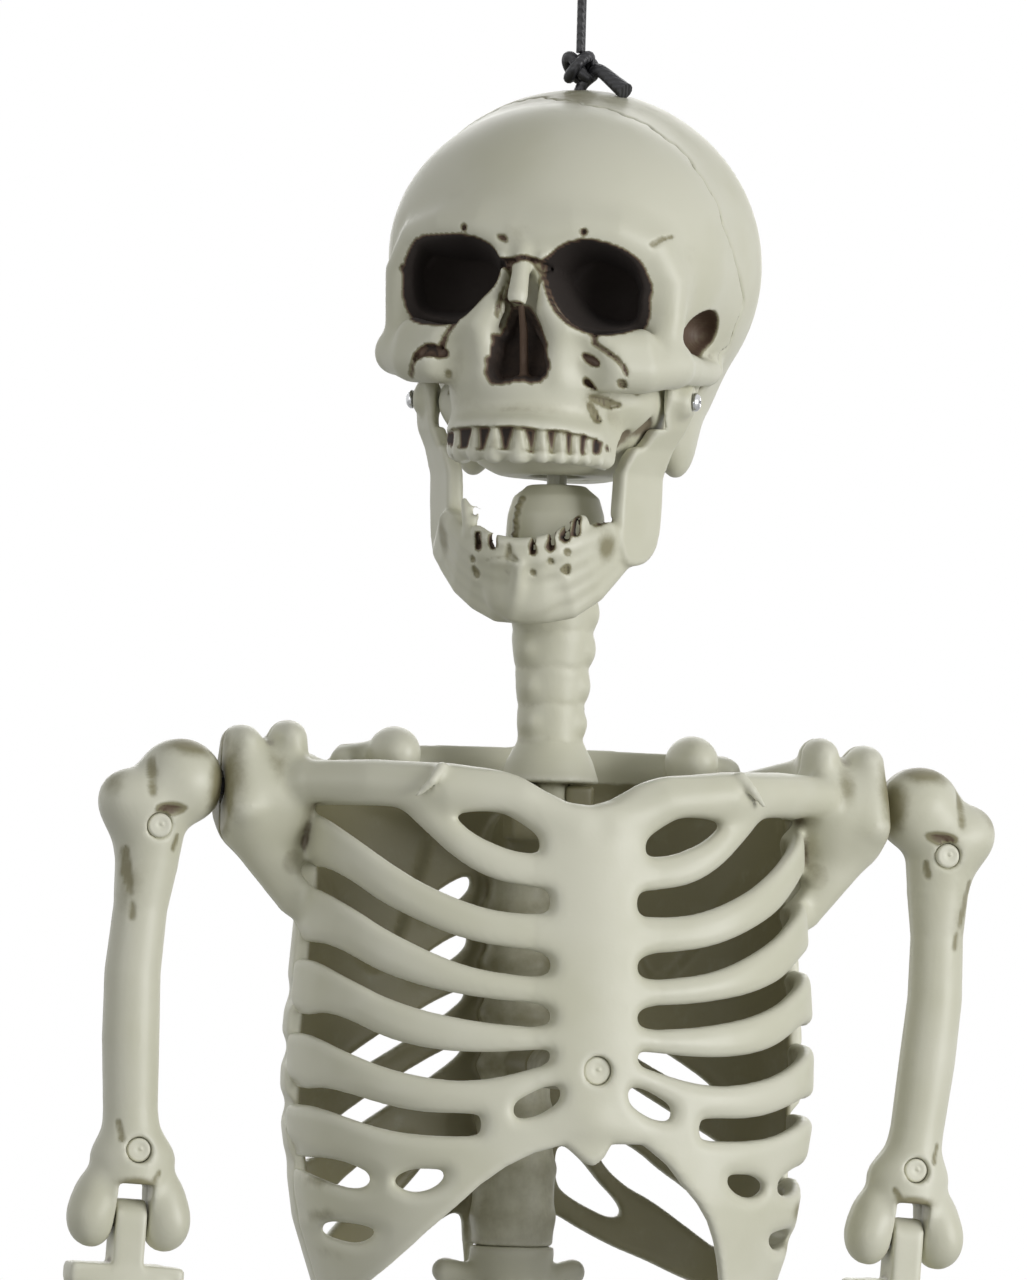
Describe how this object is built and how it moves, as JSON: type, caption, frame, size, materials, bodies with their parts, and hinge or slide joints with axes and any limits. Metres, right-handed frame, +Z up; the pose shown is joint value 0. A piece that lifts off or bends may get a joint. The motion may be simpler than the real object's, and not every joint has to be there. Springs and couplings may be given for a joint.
{
  "type": "hanging skeleton figure",
  "caption": "Jointed plastic skeleton decoration that hangs from a short cord loop, with a dropping jaw, a turning head and hinged arms and legs.",
  "frame": {"origin": "inside top of the cord loop, where the hook carries it", "axes": "+Z up along the hanging cord, the figure's chest faces -Y and its own left side is at +X"},
  "size_m": [0.2908, 0.1503, 0.9515],
  "materials": {
    "bone": "satin ivory moulded plastic with a brown wash in the recesses",
    "pin": "satin black",
    "screw": "plated",
    "cord": "braided black"
  },
  "bodies": {
    "head": {"skull": "bone", "jaw_screw_left": "screw", "jaw_screw_right": "screw", "hanging_loop": "cord", "cord_knot": "cord"},
    "jaw": {"jaw": "bone"},
    "torso": {"head_peg": "pin", "neck": "bone", "ribcage_front": "bone", "ribcage_back": "bone", "sternum_screw": "screw", "sternum_plug": "bone", "shoulder_pin_left": "pin", "shoulder_pin_right": "pin", "lumbar_spine": "bone", "pelvis": "bone", "hip_pin_left": "pin", "hip_pin_right": "pin"},
    "upper_arm_left": {"upper_arm_left_front": "bone", "upper_arm_left_back": "bone", "upper_arm_left_plug_top": "bone", "upper_arm_left_plug_bottom": "bone", "upper_arm_left_screw_top": "screw", "upper_arm_left_screw_bottom": "screw", "elbow_pin_left": "pin"},
    "forearm_left": {"forearm_left": "bone", "wrist_pin_left": "pin"},
    "hand_left": {"hand_left": "bone"},
    "thigh_left": {"thigh_left_front": "bone", "thigh_left_back": "bone", "thigh_left_plug_top": "bone", "thigh_left_plug_bottom": "bone", "thigh_left_screw_top": "screw", "thigh_left_screw_bottom": "screw", "knee_pin_left": "pin"},
    "shin_left": {"shin_left": "bone", "ankle_pin_left": "pin"},
    "foot_left": {"foot_left": "bone"},
    "upper_arm_right": {"upper_arm_right_front": "bone", "upper_arm_right_back": "bone", "upper_arm_right_plug_top": "bone", "upper_arm_right_plug_bottom": "bone", "upper_arm_right_screw_top": "screw", "upper_arm_right_screw_bottom": "screw", "elbow_pin_right": "pin"},
    "forearm_right": {"forearm_right": "bone", "wrist_pin_right": "pin"},
    "hand_right": {"hand_right": "bone"},
    "thigh_right": {"thigh_right_front": "bone", "thigh_right_back": "bone", "thigh_right_plug_top": "bone", "thigh_right_plug_bottom": "bone", "thigh_right_screw_top": "screw", "thigh_right_screw_bottom": "screw", "knee_pin_right": "pin"},
    "shin_right": {"shin_right": "bone", "ankle_pin_right": "pin"},
    "foot_right": {"foot_right": "bone"}
  },
  "joints": [
    {"name": "neck_turn", "type": "hinge", "parent": "head", "child": "torso", "pos_m": [-0.00892, -0.0179, -0.176], "axis": [0, 0, 1], "range_deg": [-106.5, 53.5]},
    {"name": "jaw_hinge", "type": "hinge", "parent": "head", "child": "jaw", "pos_m": [-0.01294, -0.02595, -0.1535], "axis": [-0.8949, 0.4462, 0], "range_deg": [0, 25]},
    {"name": "shoulder_left", "type": "hinge", "parent": "torso", "child": "upper_arm_left", "pos_m": [0.09358, -0.0239, -0.272], "axis": [-0.9986, 0, 0.0523], "range_deg": [-60, 170]},
    {"name": "elbow_left", "type": "hinge", "parent": "upper_arm_left", "child": "forearm_left", "pos_m": [0.10425, -0.0239, -0.40274], "axis": [-0.9986, 0, 0.0523], "range_deg": [-15, 95]},
    {"name": "wrist_left", "type": "hinge", "parent": "forearm_left", "child": "hand_left", "pos_m": [0.09823, -0.0239, -0.51758], "axis": [-0.9986, 0, 0.0523], "range_deg": [-60, 60]},
    {"name": "hip_left", "type": "hinge", "parent": "torso", "child": "thigh_left", "pos_m": [0.03908, -0.0119, -0.54], "axis": [-1, 0, 0], "range_deg": [-30, 100]},
    {"name": "knee_left", "type": "hinge", "parent": "thigh_left", "child": "shin_left", "pos_m": [0.05008, -0.0119, -0.736], "axis": [1, 0, 0], "range_deg": [0, 95]},
    {"name": "ankle_left", "type": "hinge", "parent": "shin_left", "child": "foot_left", "pos_m": [0.05008, -0.0119, -0.914], "axis": [-1, 0, 0], "range_deg": [-30, 20]},
    {"name": "shoulder_right", "type": "hinge", "parent": "torso", "child": "upper_arm_right", "pos_m": [-0.11142, -0.0239, -0.272], "axis": [-0.9986, 0, 0.0523], "range_deg": [-60, 170]},
    {"name": "elbow_right", "type": "hinge", "parent": "upper_arm_right", "child": "forearm_right", "pos_m": [-0.1357, -0.0239, -0.40091], "axis": [-0.9986, 0, 0.0523], "range_deg": [-15, 95]},
    {"name": "wrist_right", "type": "hinge", "parent": "forearm_right", "child": "hand_right", "pos_m": [-0.14172, -0.0239, -0.51575], "axis": [-0.9986, 0, 0.0523], "range_deg": [-60, 60]},
    {"name": "hip_right", "type": "hinge", "parent": "torso", "child": "thigh_right", "pos_m": [-0.05692, -0.0119, -0.54], "axis": [-1, 0, 0], "range_deg": [-30, 100]},
    {"name": "knee_right", "type": "hinge", "parent": "thigh_right", "child": "shin_right", "pos_m": [-0.06792, -0.0119, -0.736], "axis": [1, 0, 0], "range_deg": [0, 95]},
    {"name": "ankle_right", "type": "hinge", "parent": "shin_right", "child": "foot_right", "pos_m": [-0.06792, -0.0119, -0.914], "axis": [-1, 0, 0], "range_deg": [-30, 20]}
  ]
}
